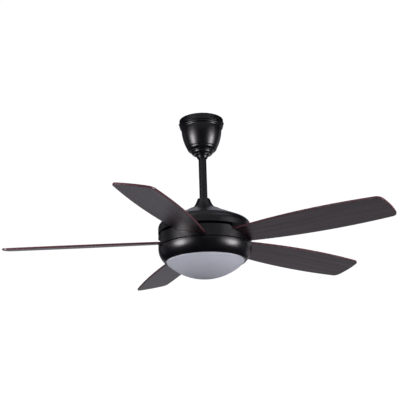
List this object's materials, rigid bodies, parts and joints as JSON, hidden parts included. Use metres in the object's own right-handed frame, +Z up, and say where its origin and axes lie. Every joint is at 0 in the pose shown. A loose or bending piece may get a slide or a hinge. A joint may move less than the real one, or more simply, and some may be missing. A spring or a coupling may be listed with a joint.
{
  "type": "ceiling fan with light",
  "caption": "Ceiling fan on a short downrod with dark pitched wood blades, a black domed motor housing and a round opal glass light.",
  "frame": {"origin": "on the ceiling plane, at the fan's vertical axis", "axes": "+Z up into the ceiling along the fan's axis; +X to the right and +Y away, seen from the front"},
  "size_m": [1.2255, 1.2753, 0.552],
  "materials": {
    "black_metal": "satin black powder coat",
    "black_cast": "as cast, painted black",
    "galvanised_steel": "galvanised pressing",
    "bright_steel": "machined, zinc plated",
    "bearing_steel": "ground and polished",
    "black_aluminium": "die cast, painted satin black",
    "black_steel": "black oxide",
    "steel_laminations": "stacked laminations",
    "copper": "varnished copper wire",
    "blade_wood": "dark stained laminate with maroon edges",
    "opal_glass": "satin opal",
    "tray_white": "gloss white",
    "led_board_white": "white solder mask",
    "led_phosphor": "phosphor gel",
    "black_plastic": "moulded",
    "white_plastic": "moulded",
    "wire_insulation": "PVC insulation",
    "fibre_washer": "soft"
  },
  "bodies": {
    "ceiling_mount": {"hanger_bracket": "galvanised_steel", "canopy": "black_metal", "canopy_cap": "black_aluminium", "canopy_screws": "black_metal", "remote_receiver": "black_plastic"},
    "swing_key": {"hanger_key": "bright_steel"},
    "fan_body": {"hanger_ball": "black_plastic", "ball_cross_pin": "bright_steel", "ball_set_screw": "bright_steel", "downrod": "black_metal", "lead_wires": "wire_insulation", "motor_yoke": "black_cast", "clevis_pin": "bright_steel", "cotter_pin": "bright_steel", "yoke_set_screws": "bright_steel", "yoke_cover": "black_metal", "housing_cap": "black_aluminium", "top_housing": "black_metal", "housing_screws": "bright_steel", "motor_shaft": "bright_steel", "shaft_nut": "bright_steel", "bearing_inner_races": "bearing_steel", "stator_core": "steel_laminations", "stator_windings": "copper", "light_plate": "galvanised_steel", "light_pan": "black_metal", "pan_screws": "black_steel", "tray_posts": "bright_steel", "light_tray": "tray_white", "tray_screws": "bright_steel", "led_driver": "white_plastic", "led_board": "led_board_white", "led_chips": "led_phosphor"},
    "rotor": {"upper_bearing": "bearing_steel", "lower_bearing": "bearing_steel", "rotor_top_cover": "black_aluminium", "rotor_bottom_cover": "black_aluminium", "rotor_ring": "steel_laminations", "rotor_cover_screws": "bright_steel", "blade_ring": "black_aluminium", "ring_screws": "black_steel", "holder_screws": "black_steel", "blade_screws": "bright_steel", "blade_washers": "fibre_washer", "blade_1": "blade_wood", "blade_2": "blade_wood", "blade_3": "blade_wood", "blade_4": "blade_wood", "blade_5": "blade_wood", "blade_holder_1": "black_aluminium", "blade_holder_2": "black_aluminium", "blade_holder_3": "black_aluminium", "blade_holder_4": "black_aluminium", "blade_holder_5": "black_aluminium"},
    "shade": {"glass_shade": "opal_glass"}
  },
  "joints": [
    {"name": "swing_front_back", "type": "hinge", "parent": "ceiling_mount", "child": "swing_key", "pos_m": [0, 0, -0.088], "axis": [1, 0, 0], "range_deg": [-1.5, 1.5]},
    {"name": "swing_side", "type": "hinge", "parent": "swing_key", "child": "fan_body", "pos_m": [0, 0, -0.088], "axis": [0, 1, 0], "range_deg": [-1.5, 1.5]},
    {"name": "rotor_spin", "type": "hinge", "parent": "fan_body", "child": "rotor", "pos_m": [0, 0, -0.428], "axis": [0, 0, 1], "continuous": true},
    {"name": "shade_twist", "type": "hinge", "parent": "fan_body", "child": "shade", "pos_m": [0, 0, -0.49], "axis": [0, 0, -1], "range_deg": [0, 28]}
  ]
}
